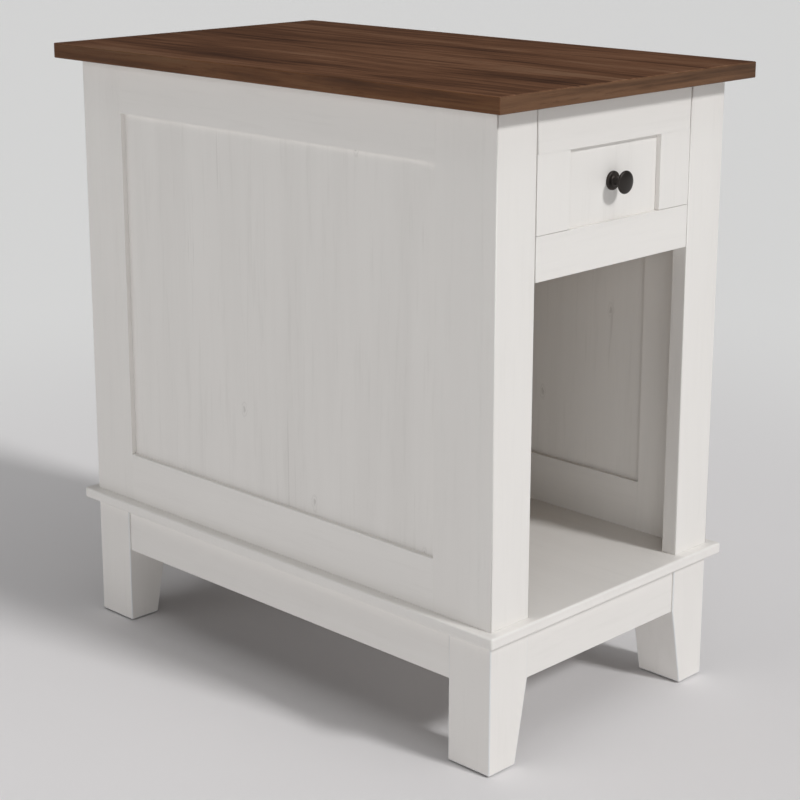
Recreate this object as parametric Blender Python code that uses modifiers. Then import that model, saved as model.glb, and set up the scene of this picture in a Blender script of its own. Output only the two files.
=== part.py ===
"""Side table with one drawer over an open compartment.

Metres, +Z up. The origin is on the floor under the middle of the top. The
drawer opens towards -Y, and +X is to the right of someone facing the drawer.
"""
import math

import bmesh
import bpy
from mathutils import Vector

# Outside of the table
TOP_WIDTH = 0.356
TOP_DEPTH = 0.600
TOP_THICK = 0.015
HEIGHT = 0.610
OVERHANG = 0.020
GAP = 0.0003                       # clearance left between pieces that touch
EASE = 0.0008                      # softened edge of a painted board

# Base: feet, rails and the bottom board whose edge is a moulding
FOOT_SIZE = 0.050
TOE_WIDTH = 0.035
RAIL_BOTTOM = 0.080
BASE_RAIL_THICK = 0.0165
BASE_RAIL_SETBACK = 0.0015   # the feet stand this far in front of the rails
BASE_RAIL_INNER = BASE_RAIL_SETBACK + BASE_RAIL_THICK
GLIDE_RADIUS = 0.011
GLIDE_THICK = 0.0012
BOARD_UNDERSIDE = 0.128
BOARD_THICK = 0.011
BOARD_OUT = 0.0105                 # how far the moulding stands out of the body
BOARD_EASE = 0.0018
BLOCK_REACH = 0.030                # legs of a corner block
BLOCK_TALL = 0.030

# Body: posts and side frames
POST_WIDTH = 0.050
POST_THICK = 0.015
SIDE_THICK = 0.020
FRONT_STILE_WIDE = 0.055
REAR_STILE_WIDE = 0.060
SIDE_RAIL_TALL = 0.050
SINK = 0.005                       # how far a panel lies below its frame
GROOVE_DEEP = 0.006                # how far a panel is let into its frame
BACK_PANEL_THICK = 0.006
BACK_PANEL_INSET = 0.012
STRETCHER_WIDE = 0.060
STRETCHER_THICK = 0.016

# Drawer
DRAWER_REVEAL = 0.0012             # gap between the drawer front and the posts
DRAWER_FRONT_BOTTOM = 0.443
DRAWER_TOP_REVEAL = 0.0022
DRAWER_FRONT_THICK = 0.018
DRAWER_STILE_WIDE = 0.0433
DRAWER_RAIL_TALL = 0.040
BOX_HALF_WIDTH = 0.093
BOX_BOARD = 0.012
BOX_LENGTH = 0.420
BOX_BOTTOM = 0.455
BOX_TALL = 0.110
BOX_FLOOR_Z = 0.463
BOX_FLOOR_THICK = 0.005

# Telescopic runners
RUNNER_Z = 0.505
RUNNER_LENGTH = 0.400
RUNNER_STEEL = 0.0012
STRIP_TALL = 0.050

# Knob and screws
KNOB_RADIUS = 0.0104
KNOB_NECK_RADIUS = 0.0042
KNOB_REACH = 0.0174                # from the sunk panel to the front of the knob
ROSETTE_RADIUS = 0.0086
ROSETTE_THICK = 0.0025
SCREW_RADIUS = 0.002
SCREW_HEAD_RADIUS = 0.0040
SCREW_HEAD_TALL = 0.0022
SCREW_BITE = 0.0095                # depth of a top screw in the top
TURN_STEPS = 28

# Planes worked out from the sizes above
BODY_X = TOP_WIDTH / 2 - OVERHANG
BODY_Y = TOP_DEPTH / 2 - OVERHANG
TOP_UNDERSIDE = HEIGHT - TOP_THICK
BODY_TOP = TOP_UNDERSIDE - GAP
BODY_BOTTOM = BOARD_UNDERSIDE + BOARD_THICK + GAP
SIDE_INNER = BODY_X - SIDE_THICK
POST_BACK = -BODY_Y + POST_THICK
STILE_FRONT_END = POST_BACK + FRONT_STILE_WIDE
STILE_REAR_END = BODY_Y - REAR_STILE_WIDE
SIDE_OPENING_LOW = BODY_BOTTOM + SIDE_RAIL_TALL
SIDE_OPENING_HIGH = BODY_TOP - SIDE_RAIL_TALL
BACK_PANEL_Y = BODY_Y - BACK_PANEL_INSET
DRAWER_HALF = BODY_X - POST_WIDTH - DRAWER_REVEAL
DRAWER_FRONT_TOP = TOP_UNDERSIDE - DRAWER_TOP_REVEAL
DRAWER_FRONT_BACK = -BODY_Y + DRAWER_FRONT_THICK
BOX_FRONT = DRAWER_FRONT_BACK + GAP
BOX_BACK = BOX_FRONT + BOX_LENGTH
BOX_INNER = BOX_HALF_WIDTH - BOX_BOARD
KNOB_Z = (DRAWER_FRONT_BOTTOM + DRAWER_FRONT_TOP) / 2
SUNK_FACE = -BODY_Y + SINK
STRETCHER_BOTTOM = BODY_TOP - STRETCHER_THICK

SIDES = {"left": -1, "right": 1}
ENDS = {"front": -1, "back": 1}

# name: (linear colour, roughness, metallic)
FINISHES = {
    "white_paint": ((0.72, 0.70, 0.66), 0.55, 0.0),
    "walnut_top": ((0.095, 0.045, 0.026), 0.45, 0.0),
    "birch_board": ((0.55, 0.40, 0.25), 0.60, 0.0),
    "dark_bronze": ((0.020, 0.017, 0.016), 0.35, 0.9),
    "zinc_steel": ((0.60, 0.60, 0.62), 0.35, 1.0),
    "grey_nylon": ((0.30, 0.30, 0.30), 0.70, 0.0),
}


def clear_scene():
    """Removes whatever the file already holds."""
    for obj in list(bpy.data.objects):
        bpy.data.objects.remove(obj)


def new_collection(name):
    """Returns a new collection in the scene."""
    collection = bpy.data.collections.new(name)
    bpy.context.scene.collection.children.link(collection)
    return collection


def make_materials():
    """Returns one plain material for each finish."""
    materials = {}
    for name, (colour, roughness, metallic) in FINISHES.items():
        material = bpy.data.materials.new(name)
        material.use_nodes = True
        shader = material.node_tree.nodes["Principled BSDF"]
        shader.inputs["Base Color"].default_value = (*colour, 1.0)
        shader.inputs["Roughness"].default_value = roughness
        shader.inputs["Metallic"].default_value = metallic
        materials[name] = material
    return materials


clear_scene()
PARTS = new_collection("side_table_with_drawer")
CUTTERS = new_collection("cutters")
MATERIALS = make_materials()


def place(name, data, centre, finish, parent=None):
    """Adds an object to the parts at a place in the world."""
    obj = bpy.data.objects.new(name, data)
    PARTS.objects.link(obj)
    if finish is not None:
        data.materials.append(MATERIALS[finish])
    obj.location = Vector(centre)
    if parent is not None:
        obj.parent = parent
        obj.location = Vector(centre) - parent.location
    return obj


def empty(name, place_at):
    """Adds an empty that carries the pieces of a moving body."""
    obj = bpy.data.objects.new(name, None)
    PARTS.objects.link(obj)
    obj.location = place_at
    obj.empty_display_size = 0.02
    return obj


def box_mesh(name, size):
    """Returns a mesh of a box centred on its origin."""
    bm = bmesh.new()
    bmesh.ops.create_cube(bm, size=1.0)
    bmesh.ops.scale(bm, vec=Vector(size), verts=bm.verts)
    mesh = bpy.data.meshes.new(name)
    bm.to_mesh(mesh)
    bm.free()
    return mesh


def soften(obj, width, segments=2):
    """Rounds the sharp edges of a board."""
    bevel = obj.modifiers.new("edges", "BEVEL")
    bevel.width = width
    bevel.segments = segments
    bevel.limit_method = "ANGLE"
    bevel.angle_limit = math.radians(40)


def board(name, low, high, finish, parent=None, ease=EASE):
    """Adds a rectangular board between two opposite corners."""
    low, high = Vector(low), Vector(high)
    obj = place(name, box_mesh(name, high - low), (low + high) / 2, finish, parent)
    if ease:
        soften(obj, ease)
    return obj


def hide_cutter(cutter):
    """Moves a cutting shape to the cutters' collection and hides it."""
    for collection in list(cutter.users_collection):
        collection.objects.unlink(cutter)
    CUTTERS.objects.link(cutter)
    cutter.hide_render = True
    cutter.display_type = "WIRE"


def cut(obj, cutter):
    """Takes a cutting shape out of a piece."""
    boolean = obj.modifiers.new(cutter.name, "BOOLEAN")
    boolean.operation = "DIFFERENCE"
    boolean.solver = "EXACT"
    boolean.object = cutter


def groove(obj, low, high):
    """Cuts a rectangular groove between two opposite corners."""
    low, high = Vector(low), Vector(high)
    cutter = place(obj.name + "_groove", box_mesh("groove", high - low), (low + high) / 2, None)
    hide_cutter(cutter)
    cut(obj, cutter)


def drill(obj, centre, radius, length, along_y=False):
    """Cuts a round hole centred on a point, along Z or along Y."""
    bm = bmesh.new()
    bmesh.ops.create_cone(bm, cap_ends=True, segments=TURN_STEPS, radius1=radius, radius2=radius,
                          depth=length)
    mesh = bpy.data.meshes.new(obj.name + "_drill")
    bm.to_mesh(mesh)
    bm.free()
    cutter = place(obj.name + "_drill", mesh, centre, None)
    if along_y:
        cutter.rotation_euler.x = math.pi / 2
    hide_cutter(cutter)
    cut(obj, cutter)


def outline(name, points, thickness, centre, finish, parent=None, upright=True, ease=0.0):
    """Adds a flat outline given a thickness.

    An upright outline lies in XZ and is thick along Y. Otherwise it lies in XY
    and is thick along Z.
    """
    curve = bpy.data.curves.new(name, "CURVE")
    curve.dimensions = "2D"
    curve.fill_mode = "BOTH"
    curve.extrude = thickness / 2
    spline = curve.splines.new("POLY")
    spline.points.add(len(points) - 1)
    for point, (across, up) in zip(spline.points, points):
        point.co = (across, up, 0.0, 1.0)
    spline.use_cyclic_u = True
    obj = place(name, curve, centre, finish, parent)
    if upright:
        obj.rotation_euler.x = math.pi / 2
    weld = obj.modifiers.new("weld", "WELD")
    weld.merge_threshold = 0.00001
    if ease:
        soften(obj, ease)
    return obj


def turned(name, profile, centre, finish, parent=None, along_y=False):
    """Adds a turned piece from (radius, height) points that run down its outside."""
    bm = bmesh.new()
    verts = [bm.verts.new((radius, 0.0, height)) for radius, height in profile]
    for upper, lower in zip(verts, verts[1:]):
        bm.edges.new((upper, lower))
    mesh = bpy.data.meshes.new(name)
    bm.to_mesh(mesh)
    bm.free()
    obj = place(name, mesh, centre, finish, parent)
    if along_y:
        obj.rotation_euler.x = math.pi / 2
    screw = obj.modifiers.new("turn", "SCREW")
    screw.steps = TURN_STEPS
    screw.render_steps = TURN_STEPS
    screw.use_merge_vertices = True
    screw.merge_threshold = 0.00001
    screw.use_smooth_shade = True
    return obj


def arc(centre, radius, start, end, steps):
    """Returns points along an arc in the (radius, height) plane, angles in degrees."""
    points = []
    for step in range(steps + 1):
        angle = math.radians(start + (end - start) * step / steps)
        points.append((centre[0] + radius * math.cos(angle), centre[1] + radius * math.sin(angle)))
    return points


def build_top():
    """The top and the four screws that hold it to the stretchers."""
    top = board("table_top", (-TOP_WIDTH / 2, -TOP_DEPTH / 2, TOP_UNDERSIDE),
                (TOP_WIDTH / 2, TOP_DEPTH / 2, HEIGHT), "walnut_top", ease=0.0010)
    screw_length = STRETCHER_THICK + GAP + SCREW_BITE
    for end, y_sign in ENDS.items():
        for side, x_sign in SIDES.items():
            spot = Vector((x_sign * SIDE_INNER / 2, y_sign * (BACK_PANEL_Y - STRETCHER_WIDE / 2), 0))
            drill(top, spot + Vector((0, 0, TOP_UNDERSIDE)), SCREW_RADIUS + GAP,
                  2 * SCREW_BITE + 4 * GAP)
            profile = [(0, screw_length), (SCREW_RADIUS, screw_length), (SCREW_RADIUS, 0),
                       (SCREW_HEAD_RADIUS, 0), (SCREW_HEAD_RADIUS, -SCREW_HEAD_TALL / 2),
                       (SCREW_HEAD_RADIUS / 2, -SCREW_HEAD_TALL), (0, -SCREW_HEAD_TALL)]
            turned(f"top_screw_{end}_{side}", profile,
                   spot + Vector((0, 0, STRETCHER_BOTTOM - GAP)), "zinc_steel")


def build_stretchers():
    """The flat rails under the top, between the side frames."""
    reach = SIDE_INNER - GAP
    for end, y_sign in ENDS.items():
        near = y_sign * (BACK_PANEL_Y - STRETCHER_WIDE)
        far = y_sign * (BACK_PANEL_Y - BACK_PANEL_THICK - GAP)
        rail = board(f"{end}_stretcher", (-reach, min(near, far), STRETCHER_BOTTOM),
                     (reach, max(near, far), BODY_TOP), "birch_board")
        for x_sign in SIDES.values():
            spot = (x_sign * SIDE_INNER / 2, y_sign * (BACK_PANEL_Y - STRETCHER_WIDE / 2),
                    STRETCHER_BOTTOM + STRETCHER_THICK / 2)
            drill(rail, spot, SCREW_RADIUS + GAP, 2 * STRETCHER_THICK)


def build_side(side, sign):
    """One side: post, frame of stiles and rails, and the panel let into the frame."""
    def span(near, far):
        """Puts two distances from the middle in order on this side."""
        return sorted((sign * near, sign * far))

    inner, outer = span(SIDE_INNER, BODY_X)
    post_in, post_out = span(BODY_X - POST_WIDTH, BODY_X)
    panel_in, panel_out = span(SIDE_INNER + SINK, BODY_X - SINK)
    slot_in, slot_out = panel_in - GAP, panel_out + GAP
    low, high = SIDE_OPENING_LOW, SIDE_OPENING_HIGH
    front, rear = STILE_FRONT_END, STILE_REAR_END
    deep = GROOVE_DEEP + GAP
    board(f"front_post_{side}", (post_in, -BODY_Y, BODY_BOTTOM), (post_out, POST_BACK, BODY_TOP),
          "white_paint")
    stile = board(f"side_front_stile_{side}", (inner, POST_BACK + GAP, BODY_BOTTOM),
                  (outer, front, BODY_TOP), "white_paint", ease=EASE)
    groove(stile, (slot_in, front - deep, low - deep), (slot_out, front + deep, high + deep))
    stile = board(f"side_rear_stile_{side}", (inner, rear, BODY_BOTTOM), (outer, BODY_Y, BODY_TOP),
                  "white_paint", ease=EASE)
    groove(stile, (slot_in, rear - deep, low - deep), (slot_out, rear + deep, high + deep))
    back_in, back_out = span(SIDE_INNER - deep, SIDE_INNER + deep)
    groove(stile, (back_in, BACK_PANEL_Y - BACK_PANEL_THICK - GAP, 0),
           (back_out, BACK_PANEL_Y + GAP, HEIGHT))
    rail = board(f"side_bottom_rail_{side}", (inner, front + GAP, BODY_BOTTOM),
                 (outer, rear - GAP, low), "white_paint")
    groove(rail, (slot_in, front - deep, low - deep), (slot_out, rear + deep, low + deep))
    rail = board(f"side_top_rail_{side}", (inner, front + GAP, high),
                 (outer, rear - GAP, BODY_TOP), "white_paint")
    groove(rail, (slot_in, front - deep, high - deep), (slot_out, rear + deep, high + deep))
    board(f"side_panel_{side}", (panel_in, front - GROOVE_DEEP, low - GROOVE_DEEP),
          (panel_out, rear + GROOVE_DEEP, high + GROOVE_DEEP), "white_paint", ease=0)


def build_back():
    """The thin back panel, let into the rear stiles."""
    reach = SIDE_INNER + GROOVE_DEEP
    board("back_panel", (-reach, BACK_PANEL_Y - BACK_PANEL_THICK, BODY_BOTTOM),
          (reach, BACK_PANEL_Y, BODY_TOP), "white_paint", ease=0)


def foot_outline(sign):
    """Returns the foot's outline seen from the front, its outer side at sign * x."""
    base = GLIDE_THICK + GAP
    top = BOARD_UNDERSIDE - GAP
    return [(0, base), (-sign * TOE_WIDTH, base), (-sign * FOOT_SIZE, RAIL_BOTTOM),
            (-sign * FOOT_SIZE, top), (0, top)]


def block_outline(x_sign, y_sign):
    """Returns the triangle of a corner block, its square corner at the origin."""
    return [(0, 0), (-x_sign * BLOCK_REACH, 0), (0, -y_sign * BLOCK_REACH)]


def build_corner(end, y_sign, side, x_sign):
    """One corner of the base: foot, glide pad and corner block."""
    outline(f"foot_{end}_{side}", foot_outline(x_sign), FOOT_SIZE,
            (x_sign * BODY_X, y_sign * (BODY_Y - FOOT_SIZE / 2), 0), "white_paint", ease=EASE)
    pad = [(0, GLIDE_THICK), (GLIDE_RADIUS, GLIDE_THICK), (GLIDE_RADIUS, GLIDE_THICK / 3),
           (GLIDE_RADIUS * 0.95, 0), (0, 0)]
    turned(f"glide_{end}_{side}", pad,
           (x_sign * (BODY_X - TOE_WIDTH / 2), y_sign * (BODY_Y - FOOT_SIZE / 2), 0), "grey_nylon")
    corner = (x_sign * (BODY_X - FOOT_SIZE - GAP), y_sign * (BODY_Y - BASE_RAIL_INNER - GAP),
              BOARD_UNDERSIDE - GAP - BLOCK_TALL / 2)
    outline(f"corner_block_{end}_{side}", block_outline(x_sign, y_sign), BLOCK_TALL, corner,
            "birch_board", upright=False)


def build_base():
    """The bottom board, the rails of the base, the feet and what holds them."""
    reach_x = BODY_X + BOARD_OUT
    reach_y = BODY_Y + BOARD_OUT
    board("bottom_board", (-reach_x, -reach_y, BOARD_UNDERSIDE),
          (reach_x, reach_y, BOARD_UNDERSIDE + BOARD_THICK), "white_paint", ease=BOARD_EASE)
    rail_top = BOARD_UNDERSIDE - GAP
    for side, sign in SIDES.items():
        faces = sorted((sign * (BODY_X - BASE_RAIL_INNER), sign * (BODY_X - BASE_RAIL_SETBACK)))
        reach = BODY_Y - FOOT_SIZE - GAP
        board(f"base_rail_{side}", (faces[0], -reach, RAIL_BOTTOM), (faces[1], reach, rail_top),
              "white_paint")
    for end, sign in ENDS.items():
        faces = sorted((sign * (BODY_Y - BASE_RAIL_INNER), sign * (BODY_Y - BASE_RAIL_SETBACK)))
        reach = BODY_X - FOOT_SIZE - GAP
        board(f"base_rail_{end}", (-reach, faces[0], RAIL_BOTTOM), (reach, faces[1], rail_top),
              "white_paint")
        for side, x_sign in SIDES.items():
            build_corner(end, sign, side, x_sign)


def channel(half_tall, web, lip):
    """Returns a channel's outline from its half height, web face and lip ends.

    The web lies from web towards lip for one thickness of steel, and the two
    flanges run from it to lip.
    """
    towards = 1 if lip > web else -1
    inside = web + towards * RUNNER_STEEL
    low = half_tall - RUNNER_STEEL
    return [(web, -half_tall), (lip, -half_tall), (lip, -low), (inside, -low), (inside, low),
            (lip, low), (lip, half_tall), (web, half_tall)]


def build_runner(side, sign, middle, drawer):
    """One telescopic runner: fixed, middle and drawer members, and its packing strip."""
    strip_in = BODY_X - POST_WIDTH - 0.002
    strip = sorted((sign * (strip_in + GAP), sign * (SIDE_INNER - GAP)))
    start = BOX_FRONT + 0.001
    board(f"runner_strip_{side}",
          (strip[0], start, RUNNER_Z - STRIP_TALL / 2),
          (strip[1], start + RUNNER_LENGTH, RUNNER_Z + STRIP_TALL / 2), "birch_board")
    box_face = BOX_HALF_WIDTH + GAP
    members = (("fixed", 0.0225, strip_in, box_face + 0.0020, None),
               ("middle", 0.0180, box_face + 0.0094, box_face + 0.0030, middle),
               ("drawer", 0.0135, box_face, box_face + 0.0074, drawer))
    for kind, half_tall, web, lip, carrier in members:
        points = [(sign * across, up) for across, up in channel(half_tall, web, lip)]
        outline(f"runner_{kind}_{side}", points, RUNNER_LENGTH,
                (0, start + RUNNER_LENGTH / 2, RUNNER_Z), "zinc_steel", carrier)


def build_drawer_front(drawer):
    """The drawer front: a frame of two rails and two stiles round a sunk panel."""
    low, high = DRAWER_FRONT_BOTTOM, DRAWER_FRONT_TOP
    opening_low, opening_high = low + DRAWER_RAIL_TALL, high - DRAWER_RAIL_TALL
    front, back = -BODY_Y, DRAWER_FRONT_BACK
    panel_front, panel_back = SUNK_FACE, DRAWER_FRONT_BACK - 0.003
    half_open = DRAWER_HALF - DRAWER_STILE_WIDE
    deep = GROOVE_DEEP + GAP
    rails = {"bottom": (low, opening_low, opening_low), "top": (opening_high, high, opening_high)}
    for name, (bottom, top, lip) in rails.items():
        rail = board(f"drawer_front_{name}_rail", (-DRAWER_HALF, front, bottom),
                     (DRAWER_HALF, back, top), "white_paint", drawer)
        groove(rail, (-half_open - deep, panel_front - GAP, lip - deep),
               (half_open + deep, panel_back + GAP, lip + deep))
    for side, sign in SIDES.items():
        faces = sorted((sign * half_open, sign * DRAWER_HALF))
        stile = board(f"drawer_front_stile_{side}", (faces[0], front, opening_low + GAP),
                      (faces[1], back, opening_high - GAP), "white_paint", drawer)
        slot = sorted((sign * (half_open - deep), sign * (half_open + deep)))
        groove(stile, (slot[0], panel_front - GAP, low), (slot[1], panel_back + GAP, high))
    reach = half_open + GROOVE_DEEP
    panel = board("drawer_front_panel", (-reach, panel_front, opening_low - GROOVE_DEEP),
                  (reach, panel_back, opening_high + GROOVE_DEEP), "white_paint", drawer, ease=0)
    drill(panel, (0, panel_front, KNOB_Z), SCREW_RADIUS + GAP, 0.05, along_y=True)


def build_drawer_box(drawer):
    """The box behind the drawer front, with its bottom let into the four boards."""
    low, high = BOX_BOTTOM, BOX_BOTTOM + BOX_TALL
    deep = GROOVE_DEEP + GAP
    floor_low, floor_high = BOX_FLOOR_Z, BOX_FLOOR_Z + BOX_FLOOR_THICK
    reach_x = BOX_INNER + GROOVE_DEEP
    near, far = BOX_FRONT + BOX_BOARD, BOX_BACK - BOX_BOARD
    for side, sign in SIDES.items():
        faces = sorted((sign * BOX_INNER, sign * BOX_HALF_WIDTH))
        wall = board(f"drawer_side_{side}", (faces[0], BOX_FRONT, low), (faces[1], BOX_BACK, high),
                     "birch_board", drawer)
        slot = sorted((sign * (BOX_INNER - deep), sign * (BOX_INNER + deep)))
        groove(wall, (slot[0], near - deep, floor_low - GAP), (slot[1], far + deep, floor_high + GAP))
    inner_front = board("drawer_inner_front", (-BOX_INNER + GAP, BOX_FRONT, low),
                        (BOX_INNER - GAP, near, high), "birch_board", drawer)
    groove(inner_front, (-BOX_INNER, near - deep, floor_low - GAP),
           (BOX_INNER, near + deep, floor_high + GAP))
    drill(inner_front, (0, BOX_FRONT, KNOB_Z), SCREW_RADIUS + GAP, 0.05, along_y=True)
    back = board("drawer_back", (-BOX_INNER + GAP, far, low), (BOX_INNER - GAP, BOX_BACK, high),
                 "birch_board", drawer)
    groove(back, (-BOX_INNER, far - deep, floor_low - GAP), (BOX_INNER, far + deep, floor_high + GAP))
    board("drawer_bottom", (-reach_x, near - GROOVE_DEEP, floor_low),
          (reach_x, far + GROOVE_DEEP, floor_high), "birch_board", drawer, ease=0)


def build_knob(drawer):
    """The rosette, the knob with its neck and head, and the screw from inside."""
    bore = SCREW_RADIUS + GAP
    rosette_seat = (0, SUNK_FACE - GAP, KNOB_Z)
    rosette = [(bore, ROSETTE_THICK), (ROSETTE_RADIUS - 0.0015, ROSETTE_THICK)]
    rosette += arc((ROSETTE_RADIUS - 0.0015, ROSETTE_THICK - 0.0015), 0.0015, 60, 0, 3)
    rosette += [(ROSETTE_RADIUS, 0), (bore, 0), (bore, ROSETTE_THICK)]
    turned("knob_rosette", rosette, rosette_seat, "dark_bronze", drawer, along_y=True)

    knob_base = ROSETTE_THICK + GAP
    head_back = KNOB_REACH - 0.0060
    screw_tip = 0.011
    crown = 0.0014
    rim = 0.0014
    head = [(0, KNOB_REACH), (KNOB_RADIUS * 0.45, KNOB_REACH - crown * 0.15),
            (KNOB_RADIUS * 0.78, KNOB_REACH - crown * 0.55)]
    head += arc((KNOB_RADIUS - rim, KNOB_REACH - crown - rim), rim, 75, -60, 8)
    neck = arc((KNOB_NECK_RADIUS + 0.0035, head_back - 0.0035), 0.0035, 90, 180, 5)
    foot = [(KNOB_NECK_RADIUS, knob_base + 0.0012), (KNOB_NECK_RADIUS + 0.0014, knob_base),
            (bore, knob_base), (bore, screw_tip + GAP), (0, screw_tip + GAP)]
    turned("knob", head + neck + foot, rosette_seat, "dark_bronze", drawer, along_y=True)

    inside = BOX_FRONT + BOX_BOARD + GAP
    head_seat = rosette_seat[1] - inside
    profile = [(0, screw_tip), (SCREW_RADIUS, screw_tip), (SCREW_RADIUS, head_seat),
               (SCREW_HEAD_RADIUS, head_seat), (SCREW_HEAD_RADIUS, head_seat - SCREW_HEAD_TALL / 2),
               (SCREW_HEAD_RADIUS / 2, head_seat - SCREW_HEAD_TALL), (0, head_seat - SCREW_HEAD_TALL)]
    turned("knob_screw", profile, rosette_seat, "zinc_steel", drawer, along_y=True)


def build_table():
    """Builds every piece of the table."""
    drawer = empty("drawer_body", (0, -BODY_Y, KNOB_Z))
    build_top()
    build_stretchers()
    build_back()
    build_base()
    for side, sign in SIDES.items():
        middle = empty(f"runner_middle_body_{side}", (sign * BOX_HALF_WIDTH, -BODY_Y, RUNNER_Z))
        build_side(side, sign)
        build_runner(side, sign, middle, drawer)
    build_drawer_front(drawer)
    build_drawer_box(drawer)
    build_knob(drawer)


build_table()
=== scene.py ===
"""Looks of a narrow side table with a walnut-brown top, a white framed body and one drawer.

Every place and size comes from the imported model. Each class stands for one sub-assembly or one
finish, in metres, +Z up, with the drawer opening towards -Y.
"""
import logging
import math
from dataclasses import dataclass, field
from enum import Enum
from typing import Any, Callable, ClassVar, Sequence

import bmesh
import bpy
import numpy as np
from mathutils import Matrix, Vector


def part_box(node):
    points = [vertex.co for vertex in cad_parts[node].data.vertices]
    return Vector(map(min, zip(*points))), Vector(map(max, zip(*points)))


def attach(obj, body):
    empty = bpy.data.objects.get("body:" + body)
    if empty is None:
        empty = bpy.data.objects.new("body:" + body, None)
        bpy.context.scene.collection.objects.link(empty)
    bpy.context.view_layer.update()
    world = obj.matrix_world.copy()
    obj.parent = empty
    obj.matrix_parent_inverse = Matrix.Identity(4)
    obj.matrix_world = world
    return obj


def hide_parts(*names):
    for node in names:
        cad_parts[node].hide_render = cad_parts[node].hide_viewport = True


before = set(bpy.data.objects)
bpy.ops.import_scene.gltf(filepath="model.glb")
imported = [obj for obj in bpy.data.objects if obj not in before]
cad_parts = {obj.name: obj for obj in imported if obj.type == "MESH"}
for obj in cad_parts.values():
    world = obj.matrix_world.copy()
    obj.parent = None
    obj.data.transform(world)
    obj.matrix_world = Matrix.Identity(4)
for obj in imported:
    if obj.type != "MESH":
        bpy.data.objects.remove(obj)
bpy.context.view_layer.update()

log = logging.getLogger("side_table")

Colour = tuple[float, float, float]
Point = tuple[float, float, float]
Outline = list[tuple[float, float]]

CLOSE_UP = 0.0002                    # how far a glued face runs into its neighbour
PANEL_TRIM = 0.0052                  # how much of a panel's hidden tongue is left off
SMOOTH_LIMIT = math.radians(32)
CREASE = math.radians(40)            # a foot's edges sharper than this are rounded
LATHE_SIDES = 72
SEED_COUNT = 89                      # how many shifts of the grain there are
SEED_STEP = (0.37, 0.53, 0.29)       # from one shift to the next, in metres
WHITE = (1.0, 1.0, 1.0, 1.0)


class Axis(Enum):
    """A direction of the world, as an index into a point."""

    X = 0
    Y = 1
    Z = 2


class Face(Enum):
    """One face of a board: the index of its axis and which way it looks."""

    LEFT = (0, -1)
    RIGHT = (0, 1)
    FRONT = (1, -1)
    BACK = (1, 1)
    BOTTOM = (2, -1)
    TOP = (2, 1)


class Way(Enum):
    """A way across the table, with its word in the names of pieces and the sign of its axis."""

    @property
    def word(self) -> str:
        """The word in the names of pieces."""
        return self.value[0]

    @property
    def sign(self) -> int:
        """The sign of the axis on this side."""
        return self.value[1]


class Side(Way):
    """The two sides of the table, with the sign of X there."""

    LEFT = ("left", -1)
    RIGHT = ("right", 1)

    @property
    def outer(self) -> Face:
        """The face that looks out of the table on this side."""
        return Face.RIGHT if self is Side.RIGHT else Face.LEFT


class End(Way):
    """The two ends of the table, with the sign of Y there."""

    FRONT = ("front", -1)
    BACK = ("back", 1)


class Body(Enum):
    """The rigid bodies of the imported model."""

    FRAME = "frame"
    DRAWER = "drawer"
    RUNNER_LEFT = "runner_left"
    RUNNER_RIGHT = "runner_right"


class Slot(Enum):
    """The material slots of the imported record."""

    PAINT = "white_paint"
    WALNUT = "walnut_top"
    BIRCH = "birch_board"
    BRONZE = "dark_bronze"
    STEEL = "zinc_steel"
    NYLON = "grey_nylon"


# ---------------------------------------------------------------- node trees


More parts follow.
